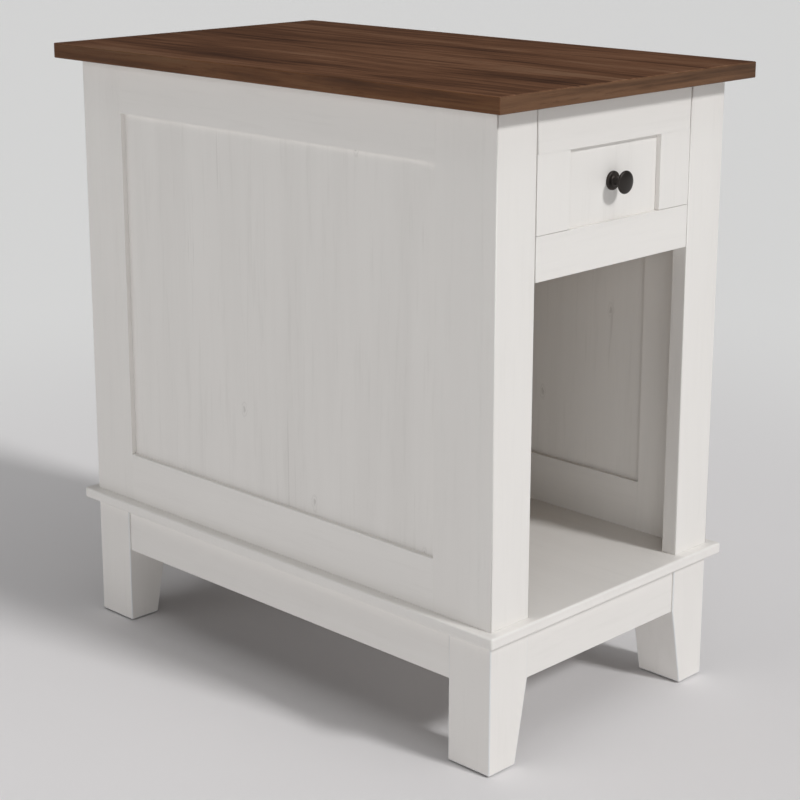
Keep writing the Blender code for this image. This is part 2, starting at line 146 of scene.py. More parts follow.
class Sheet:
    """A node tree that is being drawn, with short calls for the nodes that repeat."""

    def __init__(self, tree: bpy.types.NodeTree) -> None:
        """Takes the shader or geometry node tree to draw on."""
        self.tree = tree

    def node(self, kind: str, inputs: dict[str | int, Any] | None = None,
             **settings: Any) -> bpy.types.Node:
        """Adds a node.

        Args:
            kind: The node's type name.
            inputs: Sockets or constants for its inputs, by name or index.
            settings: Attributes to set on it, before its inputs.

        Returns:
            The new node.
        """
        node = self.tree.nodes.new(kind)
        for name, value in settings.items():
            setattr(node, name, value)
        for socket, value in (inputs or {}).items():
            self.feed(node, socket, value)
        return node

    def feed(self, node: bpy.types.Node, socket: str | int, value: Any) -> None:
        """Links a socket to an input, or sets the input to a constant.

        Args:
            node: The node that has the input.
            socket: The input's name or index.
            value: An output socket or a plain value.
        """
        if isinstance(value, bpy.types.NodeSocket):
            self.tree.links.new(value, node.inputs[socket])
        else:
            node.inputs[socket].default_value = value

    def source(self) -> Any:
        """Returns the inputs of the group that is being drawn."""
        return self.node("NodeGroupInput").outputs

    def end(self, **values: Any) -> bpy.types.NodeTree:
        """Feeds the group's outputs, by name, and returns its tree."""
        self.node("NodeGroupOutput", values)
        return self.tree

    def here(self) -> Any:
        """Returns the socket of the Object coordinates."""
        return self.node("ShaderNodeTexCoord").outputs["Object"]

    def split(self, vector: Any) -> Any:
        """Returns the sockets of a vector's three parts."""
        return self.node("ShaderNodeSeparateXYZ", {0: vector}).outputs

    def join(self, *parts: Any) -> Any:
        """Returns the socket of the vector with these parts."""
        return self.node("ShaderNodeCombineXYZ", dict(enumerate(parts))).outputs[0]

    def math(self, operation: str, first: Any, second: Any = 0.0, clamp: bool = False) -> Any:
        """Returns the output of a Math node, kept between 0 and 1 if clamp is True."""
        return self.node("ShaderNodeMath", {0: first, 1: second}, operation=operation,
                         use_clamp=clamp).outputs[0]

    def times(self, first: Any, second: Any) -> Any:
        """Returns the socket of the product of two values."""
        return self.math("MULTIPLY", first, second)

    def vector_math(self, operation: str, first: Any, second: Any = (0, 0, 0)) -> Any:
        """Returns the vector output of a Vector Math node."""
        return self.node("ShaderNodeVectorMath", {0: first, 1: second},
                         operation=operation).outputs[0]

    def spread(self, value: Any, low: float, high: float, out_low: float = 0.0,
               out_high: float = 1.0) -> Any:
        """Returns a socket mapped smoothly, and clamped, from low..high onto out_low..out_high."""
        inputs = dict(enumerate((value, low, high, out_low, out_high)))
        return self.node("ShaderNodeMapRange", inputs, interpolation_type="SMOOTHSTEP").outputs[0]

    def blend(self, amount: Any, first: Any, second: Any) -> Any:
        """Returns the mix of two colours, where amount is the share of the second."""
        return self.node("ShaderNodeMix", {0: amount, 6: rgba(first), 7: rgba(second)},
                         data_type="RGBA").outputs[2]

    def noise(self, vector: Any, scale: Any, detail: float = 2.0, roughness: float = 0.5,
              colour: bool = False) -> Any:
        """Returns the factor of a Noise texture, or its colour if colour is True."""
        node = self.node("ShaderNodeTexNoise", {"Vector": vector, "Scale": scale,
                                                "Detail": detail, "Roughness": roughness})
        return node.outputs["Color" if colour else "Fac"]

    def ramp(self, value: Any, stops: Sequence[tuple[float, Colour]]) -> Any:
        """Adds a colour ramp.

        Args:
            value: The socket that picks the colour.
            stops: Positions and colours, in order.

        Returns:
            The colour's socket.
        """
        node = self.node("ShaderNodeValToRGB", {0: value})
        elements = node.color_ramp.elements
        while len(elements) < len(stops):
            elements.new(0.5)
        for element, (position, colour) in zip(elements, stops):
            element.position = position
            element.color = rgba(colour)
        return node.outputs[0]


def rgba(colour: Any) -> Any:
    """Gives a plain colour its alpha, and leaves a socket as it is.

    Args:
        colour: A colour or a socket.

    Returns:
        The colour with its alpha, or the same socket.
    """
    if isinstance(colour, bpy.types.NodeSocket) or len(colour) == 4:
        return colour
    return (*colour, 1.0)


def new_group(name: str, kind: str, inputs: Sequence[tuple], outputs: Sequence[tuple]) -> Sheet:
    """Starts a node group with named sockets.

    Args:
        name: The group's name.
        kind: ShaderNodeTree or GeometryNodeTree.
        inputs: (name, socket type, default or None) of each input.
        outputs: (name, socket type) of each output.

    Returns:
        The sheet of the new group.
    """
    tree = bpy.data.node_groups.new(name, kind)
    for label, socket_type, default in inputs:
        socket = tree.interface.new_socket(label, in_out="INPUT", socket_type=socket_type)
        if default is not None:
            socket.default_value = default
    for label, socket_type in outputs:
        tree.interface.new_socket(label, in_out="OUTPUT", socket_type=socket_type)
    return Sheet(tree)


FLOAT, VECTOR = "NodeSocketFloat", "NodeSocketVector"


class Effects:
    """The surface effects that several finishes share, each built once as a node group."""

    _built: ClassVar[dict[str, bpy.types.NodeTree]] = {}

    @classmethod
    def place(cls, sheet: Sheet, name: str, **values: Any) -> Any:
        """Places an effect in a material.

        Args:
            sheet: The material's sheet.
            name: Name of the effect's method.
            values: Inputs by name, with _ for a space.

        Returns:
            The outputs of the group node.
        """
        if name not in cls._built:
            cls._built[name] = getattr(cls, name)()
        inputs = {label.replace("_", " "): value for label, value in values.items()}
        return sheet.node("ShaderNodeGroup", inputs, node_tree=cls._built[name]).outputs

    @staticmethod
    def wood_figure() -> bpy.types.NodeTree:
        """Grain that runs along the vector's Z: broad bands, fine lines and short pores.

        Returns:
            The group's tree.
        """
        sheet = new_group(
            "wood_figure", "ShaderNodeTree",
            [("Vector", VECTOR, None), ("Bands", FLOAT, 30.0), ("Stretch", FLOAT, 12.0),
             ("Wander", FLOAT, 0.02)],
            [("Figure", FLOAT), ("Lines", FLOAT), ("Pores", FLOAT)])
        source = sheet.source()
        squeeze = sheet.join(1.0, 1.0, sheet.math("DIVIDE", 1.0, source["Stretch"]))
        drawn_out = sheet.vector_math("MULTIPLY", source["Vector"], squeeze)
        drift = sheet.noise(drawn_out, 9.0, 1.0, colour=True)
        drift = sheet.vector_math("SUBTRACT", drift, (0.5, 0.5, 0.5))
        scaled = sheet.node("ShaderNodeVectorMath", {0: drift, "Scale": source["Wander"]},
                            operation="SCALE")
        path = sheet.vector_math("ADD", drawn_out, scaled.outputs[0])
        line_noise = sheet.noise(path, sheet.times(source["Bands"], 9.0), 3.0, 0.6)
        pore_path = sheet.vector_math("MULTIPLY", path, (1.0, 1.0, 2.5))
        pore_noise = sheet.noise(pore_path, sheet.times(source["Bands"], 24.0), 1.0)
        return sheet.end(Figure=sheet.noise(path, source["Bands"], 5.0, 0.62),
                         Lines=sheet.spread(line_noise, 0.52, 0.72),
                         Pores=sheet.spread(pore_noise, 0.64, 0.78))

    @staticmethod
    def edge_rub() -> bpy.types.NodeTree:
        """How near a point of a board is to one of its edges, with a ragged border.

        Returns:
            The group's tree.
        """
        sheet = new_group(
            "edge_rub", "ShaderNodeTree",
            [("Position", VECTOR, None), ("Half Size", VECTOR, None), ("Reach", FLOAT, 0.002),
             ("Ragged", FLOAT, 0.001)],
            [("Mask", FLOAT)])
        source = sheet.source()
        inset = sheet.vector_math("SUBTRACT", source["Half Size"],
                                  sheet.vector_math("ABSOLUTE", source["Position"]))
        across, deep, along = sheet.split(inset)
        nearest = sheet.math("MINIMUM", across, deep)
        farther = sheet.math("MAXIMUM", across, deep)
        second = sheet.math("MAXIMUM", nearest, sheet.math("MINIMUM", farther, along))
        jitter = sheet.math("SUBTRACT", sheet.noise(source["Position"], 260.0, 3.0, 0.6), 0.5)
        ragged = sheet.math("ADD", second, sheet.times(jitter, source["Ragged"]))
        distance = sheet.math("DIVIDE", ragged, source["Reach"])
        return sheet.end(Mask=sheet.spread(distance, 1.0, 0.0))

    @staticmethod
    def small_knots() -> bpy.types.NodeTree:
        """Sparse small knots and rare short checks, drawn out along the vector's Z.

        Returns:
            The group's tree.
        """
        sheet = new_group(
            "small_knots", "ShaderNodeTree",
            [("Vector", VECTOR, None), ("Spacing", FLOAT, 7.0)],
            [("Knot", FLOAT), ("Check", FLOAT)])
        source = sheet.source()
        across, deep, along = sheet.split(source["Vector"])
        flat = sheet.join(sheet.math("ADD", across, deep), sheet.times(along, 0.45))
        bent = sheet.noise(source["Vector"], 170.0, 1.0, colour=True)
        bent = sheet.vector_math("MULTIPLY", bent, (0.0035, 0.0035, 0.0))
        cells = sheet.node(
            "ShaderNodeTexVoronoi",
            {"Vector": sheet.vector_math("ADD", flat, bent), "Scale": source["Spacing"]},
            voronoi_dimensions="2D")
        near = sheet.math("DIVIDE", cells.outputs["Distance"], source["Spacing"])
        heart = sheet.spread(near, 0.0022, 0.0008)
        ring = sheet.times(sheet.spread(near, 0.0024, 0.0031), sheet.spread(near, 0.0042, 0.0034))
        drawn_out = sheet.vector_math("MULTIPLY", source["Vector"], (1.0, 1.0, 0.030))
        hair = sheet.noise(drawn_out, 210.0, 0.0)
        patch = sheet.noise(source["Vector"], 8.0, 1.0)
        return sheet.end(
            Knot=sheet.math("ADD", heart, sheet.times(ring, 0.35), clamp=True),
            Check=sheet.times(sheet.spread(hair, 0.735, 0.82), sheet.spread(patch, 0.57, 0.66)))

    @staticmethod
    def fine_mottle() -> bpy.types.NodeTree:
        """A soft large-scale cloud and a fine speckle, for dust and uneven sheen.

        Returns:
            The group's tree.
        """
        sheet = new_group("fine_mottle", "ShaderNodeTree",
                          [("Vector", VECTOR, None), ("Size", FLOAT, 1.0)],
                          [("Cloud", FLOAT), ("Speckle", FLOAT)])
        source = sheet.source()
        cloud_scale, speckle_scale = (sheet.times(source["Size"], scale) for scale in (7.0, 900.0))
        return sheet.end(Cloud=sheet.noise(source["Vector"], cloud_scale, 4.0, 0.55),
                         Speckle=sheet.noise(source["Vector"], speckle_scale, 2.0, 0.6))


# ------------------------------------------------------------------ finishes


@dataclass(frozen=True)
class Finish:
    """A procedural finish. Each kind draws its own nodes in draw."""

    name: str
    slot: Slot

    def material(self) -> bpy.types.Material:
        """Makes the finish's material once.

        Returns:
            The material.
        """
        known = bpy.data.materials.get(self.name)
        if known is not None:
            return known
        material = bpy.data.materials.new(self.name)
        material.use_nodes = True
        self.draw(Sheet(material.node_tree), material.node_tree.nodes["Principled BSDF"])
        return material

    def draw(self, sheet: Sheet, shader: bpy.types.Node) -> None:
        """Draws the finish's nodes.

        Args:
            sheet: The material's sheet.
            shader: Its Principled BSDF.
        """
        raise NotImplementedError

    @staticmethod
    def sheen(sheet: Sheet, mottle: Any, low: float, high: float) -> Any:
        """Returns a roughness that goes from low to high where the mottle's cloud is thick."""
        return sheet.spread(mottle["Cloud"], 0.3, 0.7, low, high)

    @staticmethod
    def bump(sheet: Sheet, shader: bpy.types.Node, height: Any, depth: float) -> None:
        """Feeds a height into the shader's normal, where a height of 1 is depth in metres."""
        node = sheet.node("ShaderNodeBump", {"Strength": 1.0, "Distance": depth, "Height": height})
        sheet.feed(shader, "Normal", node.outputs[0])


@dataclass(frozen=True)
class Grain:
    """One layer of grain: its bands for each metre, how far they stretch and wander."""

    bands: float
    stretch: float
    wander: float

    def place(self, sheet: Sheet, vector: Any) -> Any:
        """Places the layer and returns its outputs."""
        return Effects.place(sheet, "wood_figure", Vector=vector, Bands=self.bands,
                             Stretch=self.stretch, Wander=self.wander)


@dataclass(frozen=True)
class BoardFinish(Finish):
    """A finish on boards, which reads the attributes that every board carries."""

    cross: bool = False          # True where the grain runs across the board's length

    def board_space(self, sheet: Sheet) -> tuple[Any, Any, Any]:
        """Reads the board's attributes.

        Args:
            sheet: The material's sheet.

        Returns:
            The centred position, the half size and the shifted position of the grain.
        """
        position, half, seed = (
            sheet.node("ShaderNodeAttribute", attribute_name=name).outputs["Vector"]
            for name in ("grain", "half", "seed"))
        moved = sheet.vector_math("ADD", position, seed)
        if self.cross:
            across, deep, along = sheet.split(moved)
            moved = sheet.join(along, deep, across)
        return position, half, moved

    @staticmethod
    def rubbed(sheet: Sheet, position: Any, half: Any, reach: float, ragged: float) -> Any:
        """Returns the mask of the board's edges, reach wide with a ragged border: rubbed wear on
        walnut, a painted highlight on paint.
        """
        return Effects.place(sheet, "edge_rub", Position=position, Half_Size=half, Reach=reach,
                             Ragged=ragged)["Mask"]


@dataclass(frozen=True)
class PaintedWood(BoardFinish):
    """Satin white paint over wood whose grain still shows a little."""

    colour: Colour = (0.86, 0.835, 0.805)
    shade: Colour = (0.79, 0.765, 0.735)
    check_colour: Colour = (0.50, 0.475, 0.445)
    # painted highlight: the lighter colour that the rubbed edges take
    edge_colour: Colour = (0.86, 0.84, 0.81)
    grain: Grain = Grain(17.0, 14.0, 0.012)
    grain_strength: float = 0.5
    knots: float = 0.0
    relief: float = 0.00012

    def draw(self, sheet: Sheet, shader: bpy.types.Node) -> None:
        """Draws the paint: faint bands, sparse checks, rubbed edges with a painted highlight, and
        uneven sheen.

        Args:
            sheet: The material's sheet.
            shader: Its Principled BSDF.
        """
        position, half, moved = self.board_space(sheet)
        wood = self.grain.place(sheet, moved)
        mottle = Effects.place(sheet, "fine_mottle", Vector=moved, Size=1.0)
        knots = Effects.place(sheet, "small_knots", Vector=moved, Spacing=7.0)
        bands = sheet.spread(wood["Figure"], 0.36, 0.66)
        colour = sheet.blend(sheet.times(bands, self.grain_strength), self.colour, self.shade)
        hairs = sheet.times(wood["Lines"], 0.16 * self.grain_strength)
        colour = sheet.blend(hairs, colour, self.check_colour)
        flaws = sheet.math("MAXIMUM", knots["Knot"], sheet.times(knots["Check"], 0.6))
        flaws = sheet.times(flaws, self.knots)
        colour = sheet.blend(flaws, colour, self.check_colour)
        # rubbed edges drawn lighter: wear in their ragged shape, a painted highlight in their colour
        rubbed = sheet.times(self.rubbed(sheet, position, half, 0.0016, 0.0012), 0.35)
        sheet.feed(shader, "Base Color", sheet.blend(rubbed, colour, self.edge_colour))
        sheet.feed(shader, "Roughness", self.sheen(sheet, mottle, 0.44, 0.56))
        height = sheet.times(wood["Lines"], -self.grain_strength)
        height = sheet.math("SUBTRACT", height, sheet.times(flaws, 1.5))
        height = sheet.math("ADD", height, sheet.times(mottle["Speckle"], 0.25))
        self.bump(sheet, shader, height, self.relief)


@dataclass(frozen=True)
class WalnutWood(BoardFinish):
    """Satin walnut-brown wood with long fine streaks."""

    light: Colour = (0.178, 0.082, 0.042)
    middle: Colour = (0.124, 0.055, 0.027)
    dark: Colour = (0.054, 0.023, 0.012)
    pale_streak: Colour = (0.235, 0.128, 0.074)
    dark_end: float = 0.0        # how much of the dark tone lies over the board's far end
    layers: tuple[tuple[Grain, float], ...] = (      # from broad to fine, with their weights
        (Grain(8.0, 5.0, 0.08), 0.24),
        (Grain(42.0, 13.0, 0.03), 0.36),
        (Grain(190.0, 26.0, 0.01), 0.40),
    )
    specular: float = 0.2
    relief: float = 0.00008

    def draw(self, sheet: Sheet, shader: bpy.types.Node) -> None:
        """Draws broad bands, fine light and dark streaks, open pores and rubbed edges.

        Args:
            sheet: The material's sheet.
            shader: Its Principled BSDF.
        """
        position, half, moved = self.board_space(sheet)
        placed = [grain.place(sheet, moved) for grain, _ in self.layers]
        wood = placed[1]
        mottle = Effects.place(sheet, "fine_mottle", Vector=moved, Size=1.0)
        tone: Any = 0.0
        for layer, (_, weight) in zip(placed, self.layers):
            tone = sheet.math("ADD", tone, sheet.times(layer["Figure"], weight))
        colour = sheet.ramp(tone, [(0.41, self.dark), (0.48, self.middle), (0.54, self.light),
                                   (0.62, self.pale_streak)])
        lines = sheet.times(wood["Lines"], 0.42)
        colour = sheet.blend(lines, colour, self.dark)
        colour = sheet.blend(sheet.times(wood["Pores"], 0.5), colour, self.dark)
        along = sheet.split(position)[2]
        colour = sheet.blend(sheet.spread(along, -0.06, 0.30, 0.0, self.dark_end), colour, self.dark)
        rubbed = sheet.times(self.rubbed(sheet, position, half, 0.0014, 0.0010), 0.12)
        sheet.feed(shader, "Base Color", sheet.blend(rubbed, colour, self.pale_streak))
        sheen = self.sheen(sheet, mottle, 0.46, 0.58)
        sheet.feed(shader, "Roughness", sheet.math("ADD", sheen, sheet.times(lines, 0.1)))
        shader.inputs["Specular IOR Level"].default_value = self.specular
        height = sheet.math("ADD", sheet.times(wood["Lines"], -0.7), sheet.times(wood["Pores"], -0.6))
        self.bump(sheet, shader, height, self.relief)


@dataclass(frozen=True)
class PaleWood(BoardFinish):
    """Clear-sealed light wood of the parts that are not painted."""

    light: Colour = (0.66, 0.50, 0.33)
    dark: Colour = (0.50, 0.35, 0.21)
    on_board: bool = True        # False on a piece that has no board attributes
    grain: Grain = Grain(40.0, 14.0, 0.02)
    relief: float = 0.00008

    def draw(self, sheet: Sheet, shader: bpy.types.Node) -> None:
        """Draws soft bands, fine lines and a little unevenness.

        Args:
            sheet: The material's sheet.
            shader: Its Principled BSDF.
        """
        place = self.board_space(sheet)[2] if self.on_board else sheet.here()
        wood = self.grain.place(sheet, place)
        mottle = Effects.place(sheet, "fine_mottle", Vector=place, Size=1.0)
        colour = sheet.blend(sheet.spread(wood["Figure"], 0.34, 0.68), self.light, self.dark)
        colour = sheet.blend(sheet.times(wood["Lines"], 0.35), colour, self.dark)
        sheet.feed(shader, "Base Color", colour)
        sheet.feed(shader, "Roughness", self.sheen(sheet, mottle, 0.5, 0.62))
        self.bump(sheet, shader, sheet.times(wood["Lines"], -0.8), self.relief)


@dataclass(frozen=True)
class Cloudy(Finish):
    """Metal or nylon: a cloudy tone that wears through, and a fine grit."""

    colour: Colour = (0.60, 0.60, 0.62)
    worn: Colour = (0.70, 0.70, 0.72)
    wear: float = 0.3
    wear_range: tuple[float, float] = (0.48, 0.70)
    roughness: tuple[float, float] = (0.29, 0.43)
    metallic: float = 1.0
    size: float = 8.0
    grit: float = 0.00002

    def draw(self, sheet: Sheet, shader: bpy.types.Node) -> None:
        """Draws the cloudy tone, the grit, and wear where the cloud is thick.

        Args:
            sheet: The material's sheet.
            shader: Its Principled BSDF.
        """
        mottle = Effects.place(sheet, "fine_mottle", Vector=sheet.here(), Size=self.size)
        rubbed = sheet.times(sheet.spread(mottle["Cloud"], *self.wear_range), self.wear)
        sheet.feed(shader, "Base Color", sheet.blend(rubbed, self.colour, self.worn))
        shader.inputs["Metallic"].default_value = self.metallic
        sheet.feed(shader, "Roughness", self.sheen(sheet, mottle, *self.roughness))
        self.bump(sheet, shader, mottle["Speckle"], self.grit)


@dataclass(frozen=True)
class StudioFloor(Finish):
    """Pale seamless studio paper, drawn darker near the table as painted shade round it."""

    # near: the paper darkened by painted shade round the table; far: the paper's own pale colour
    near: Colour = (0.80, 0.785, 0.79)
    far: Colour = (0.92, 0.92, 0.915)
    near_reach: float = 0.55
    far_reach: float = 1.7
    roughness: float = 0.9
    specular: float = 0.1

    def draw(self, sheet: Sheet, shader: bpy.types.Node) -> None:
        """Draws a matt pale surface with painted shade near the table and the faintest cloud.

        Args:
            sheet: The material's sheet.
            shader: Its Principled BSDF.
        """
        place = sheet.here()
        reach = sheet.node("ShaderNodeVectorMath", {0: place}, operation="LENGTH").outputs["Value"]
        cloud = sheet.times(sheet.noise(place, 1.3, 2.0), 0.15)
        # painted shade: the floor darkens towards the table
        out_of_shade = sheet.spread(sheet.math("ADD", reach, cloud), self.near_reach, self.far_reach)
        sheet.feed(shader, "Base Color", sheet.blend(out_of_shade, self.near, self.far))
        shader.inputs["Roughness"].default_value = self.roughness
        shader.inputs["Specular IOR Level"].default_value = self.specular


PAINT_PLAIN = PaintedWood("paint_plain", Slot.PAINT, grain_strength=0.30)
PAINT_PANEL = PaintedWood("paint_panel", Slot.PAINT, grain_strength=0.55, knots=0.45)
WALNUT_LONG = WalnutWood("walnut_long", Slot.WALNUT, dark_end=0.26)
WALNUT_EDGE = WalnutWood("walnut_edge", Slot.WALNUT, light=(0.150, 0.063, 0.024),
                         middle=(0.110, 0.043, 0.015), dark=(0.068, 0.026, 0.009),
                         pale_streak=(0.170, 0.084, 0.038), dark_end=0.40)
WALNUT_CROSS = WalnutWood("walnut_cross", Slot.WALNUT, cross=True, light=(0.158, 0.080, 0.041),
                          middle=(0.118, 0.059, 0.030), dark=(0.070, 0.035, 0.018),
                          pale_streak=(0.170, 0.092, 0.052))
BIRCH = PaleWood("birch_plain", Slot.BIRCH)
BIRCH_BLOCK = PaleWood("birch_block", Slot.BIRCH, on_board=False)
DOWEL = PaleWood("birch_end_grain", Slot.BIRCH, on_board=False, light=(0.56, 0.40, 0.25),
                 dark=(0.40, 0.27, 0.16))
BRONZE = Cloudy("dark_bronze_finish", Slot.BRONZE, colour=(0.036, 0.030, 0.027),
                worn=(0.10, 0.075, 0.055), roughness=(0.36, 0.50), metallic=0.6)
STEEL = Cloudy("zinc_steel_finish", Slot.STEEL)
BRIGHT_STEEL = Cloudy("ball_steel_finish", Slot.STEEL, colour=(0.66, 0.66, 0.67),
                      worn=(0.78, 0.78, 0.79), roughness=(0.14, 0.28))
NYLON = Cloudy("grey_nylon_finish", Slot.NYLON, colour=(0.26, 0.26, 0.26),
               worn=(0.36, 0.35, 0.34), wear=0.4, wear_range=(0.4, 0.7), roughness=(0.6, 0.75),
               metallic=0.0, size=4.0, grit=0.00003)
STUDIO = StudioFloor("studio_floor", Slot.PAINT)


# ------------------------------------------------------------- making meshes


@dataclass(frozen=True)
class Box:
    """A box between two opposite corners."""

    low: Vector
    high: Vector

    @classmethod
    def of_node(cls, node: str) -> "Box":
        """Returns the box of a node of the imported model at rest."""
        low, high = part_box(node)
        return cls(Vector(low), Vector(high))

    @property
    def size(self) -> Vector:
        """Its three sizes."""
        return self.high - self.low

    @property
    def centre(self) -> Vector:
        """Its middle."""
        return (self.low + self.high) / 2

    def outer_x(self, side: Side) -> float:
        """Returns the X of the face that looks out of the table on a side."""
        return self.high.x if side is Side.RIGHT else self.low.x

    def pushed(self, shifts: dict[Face, float]) -> "Box":
        """Returns the box with some faces moved outwards.

        Args:
            shifts: How far each face moves out.

        Returns:
            The new box.
        """
        low, high = self.low.copy(), self.high.copy()
        for face, amount in shifts.items():
            axis, sign = face.value
            (high if sign > 0 else low)[axis] += sign * amount
        return Box(low, high)


def settle(piece: bpy.types.Object, body: Body, finish: Finish, *nodes: str) -> None:
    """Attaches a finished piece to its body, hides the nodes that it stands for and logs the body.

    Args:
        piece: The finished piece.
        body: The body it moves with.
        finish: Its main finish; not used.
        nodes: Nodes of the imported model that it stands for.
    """
    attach(piece, body.value)
    if nodes:
        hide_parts(*nodes)
    log.info("%s rides on %s", piece.name, body.value)


def dress_node(node: str, finish: Finish) -> None:
    """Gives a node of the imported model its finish.

    Args:
        node: The node's name.
        finish: The finish.
    """
    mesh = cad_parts[node].data
    mesh.materials.clear()
    mesh.materials.append(finish.material())
    log.info("%s dressed in %s", node, finish.name)


def link_object(name: str, data: Any) -> bpy.types.Object:
    """Makes an object in the scene.

    Args:
        name: The object's name.
        data: Its mesh, light or camera.

    Returns:
        The new object.
    """
    piece = bpy.data.objects.new(name, data)
    bpy.context.scene.collection.objects.link(piece)
    return piece


def link_mesh(name: str, bm: bmesh.types.BMesh) -> bpy.types.Object:
    """Turns a bmesh into an object in the scene.

    Args:
        name: The object's name.
        bm: The bmesh, which is freed.

    Returns:
        The new object.
    """
    mesh = bpy.data.meshes.new(name)
    bm.to_mesh(mesh)
    bm.free()
    return link_object(name, mesh)


def round_edges(bm: bmesh.types.BMesh, edges: list[Any], ease: float, segments: int) -> None:
    """Rounds some edges of a bmesh by the same radius."""
    bmesh.ops.bevel(bm, geom=edges, offset=ease, segments=segments, profile=0.5, affect="EDGES",
                    clamp_overlap=True)


def board_marks(piece: bpy.types.Object, box: Box, run: Axis, name: str) -> None:
    """Stores what a board's finish reads: its grain space, half size and seed.

    The grain space is centred on the board, with the grain along its Z.

    Args:
        piece: The board.
        box: Its outer box.
        run: Direction of the grain.
        name: The name that the seed comes from.
    """
    order = [0, 1, 2]
    order[run.value], order[2] = order[2], order[run.value]
    mesh = piece.data
    count = len(mesh.vertices)
    points = np.empty(count * 3, np.float32)
    mesh.vertices.foreach_get("co", points)
    points = points.reshape(-1, 3) - np.array(box.centre, np.float32)
    half = np.array(box.size, np.float32) / 2
    number = sum((place + 1) * ord(letter) for place, letter in enumerate(name)) % SEED_COUNT
    seed = np.array([number * step for step in SEED_STEP], np.float32)
    marks = {"grain": points[:, order], "half": np.tile(half[order], (count, 1)),
             "seed": np.tile(seed, (count, 1))}
    for label, values in marks.items():
        layer = mesh.attributes.new(label, "FLOAT_VECTOR", "POINT")
        layer.data.foreach_set("vector", np.ascontiguousarray(values, np.float32).ravel())


@dataclass(frozen=True)
class Board:
    """A rectangular board, its open edges rounded and its glued faces closed up."""

    node: str
    run: Axis
    finish: Finish = PAINT_PLAIN
    body: Body = Body.FRAME
    flush: tuple[Face, ...] = ()      # faces glued to a neighbour
    crisp: tuple[Face, ...] = ()      # faces whose edges stay square
    shift: float = CLOSE_UP           # how far the glued faces move out
    ease: float = 0.0010
    segments: int = 3
    small_face: float = 0.02          # a face under this share of the largest one is rounding

    def build(self) -> bpy.types.Object:
        """Builds and settles the board.

        Returns:
            The finished piece.
        """
        box = Box.of_node(self.node).pushed({face: self.shift for face in self.flush})
        bm = bmesh.new()
        bmesh.ops.create_cube(bm, size=1.0)
        bmesh.ops.scale(bm, vec=box.size, verts=bm.verts)
        bmesh.ops.translate(bm, vec=box.centre, verts=bm.verts)
        bm.normal_update()
        square = {face.value for face in self.flush + self.crisp}
        rounded = [edge for edge in bm.edges
                   if not any(self.looks(face.normal) in square for face in edge.link_faces)]
        if rounded and self.ease:
            round_edges(bm, rounded, self.ease, self.segments)
        flat = max(face.calc_area() for face in bm.faces) * self.small_face
        for face in bm.faces:
            face.smooth = face.calc_area() < flat and max(map(abs, face.normal)) < 0.999
        piece = link_mesh(f"{self.node}_wood", bm)
        board_marks(piece, box, self.run, self.node)
        piece.data.materials.append(self.finish.material())
        settle(piece, self.body, self.finish, self.node)
        return piece

    @staticmethod
    def looks(normal: Vector) -> tuple[int, int]:
        """Returns the axis and sign that a face's normal points along."""
        axis = max(range(3), key=lambda index: abs(normal[index]))
        return axis, (1 if normal[axis] > 0 else -1)


def lathe(name: str, profile: Outline, seat: Vector) -> bpy.types.Object:
    """Turns a closed profile round an axis that points to -Y.

    Args:
        name: The object's name.
        profile: (radius, height) points from the front of the axis down the outside to its back.
        seat: Where the height is zero.

    Returns:
        The new object, faces outward.
    """
    bm = bmesh.new()
    rings: list[list[bmesh.types.BMVert]] = []
    for radius, height in profile:
        ring = []
        for step in range(LATHE_SIDES if radius else 1):
            angle = 2 * math.pi * step / LATHE_SIDES
            offset = Vector((radius * math.cos(angle), -height, radius * math.sin(angle)))
            ring.append(bm.verts.new(seat + offset))
        rings.append(ring)
    for upper, lower in zip(rings, rings[1:]):
        for step in range(LATHE_SIDES):
            after = (step + 1) % LATHE_SIDES
            if len(upper) == 1:
                bm.faces.new((upper[0], lower[step], lower[after]))
            elif len(lower) == 1:
                bm.faces.new((upper[step], lower[0], upper[after]))
            else:
                bm.faces.new((upper[step], lower[step], lower[after], upper[after]))
    bmesh.ops.recalc_face_normals(bm, faces=bm.faces)
    for face in bm.faces:
        face.smooth = True
    piece = link_mesh(name, bm)
    piece.data.set_sharp_from_angle(angle=SMOOTH_LIMIT)
    return piece


def arc(centre: tuple[float, float], radius: float, start: float, end: float,
        steps: int) -> Outline:
    """Returns points along an arc.

    Args:
        centre: Its centre.
        radius: Its radius.
        start: First angle in degrees.
        end: Last angle in degrees.
        steps: Number of steps between them.

    Returns:
        The points, both ends included.
    """
    points = []
    for step in range(steps + 1):
        angle = math.radians(start + (end - start) * step / steps)
        points.append((centre[0] + radius * math.cos(angle), centre[1] + radius * math.sin(angle)))
    return points


# ------------------------------------------------------------ geometry nodes


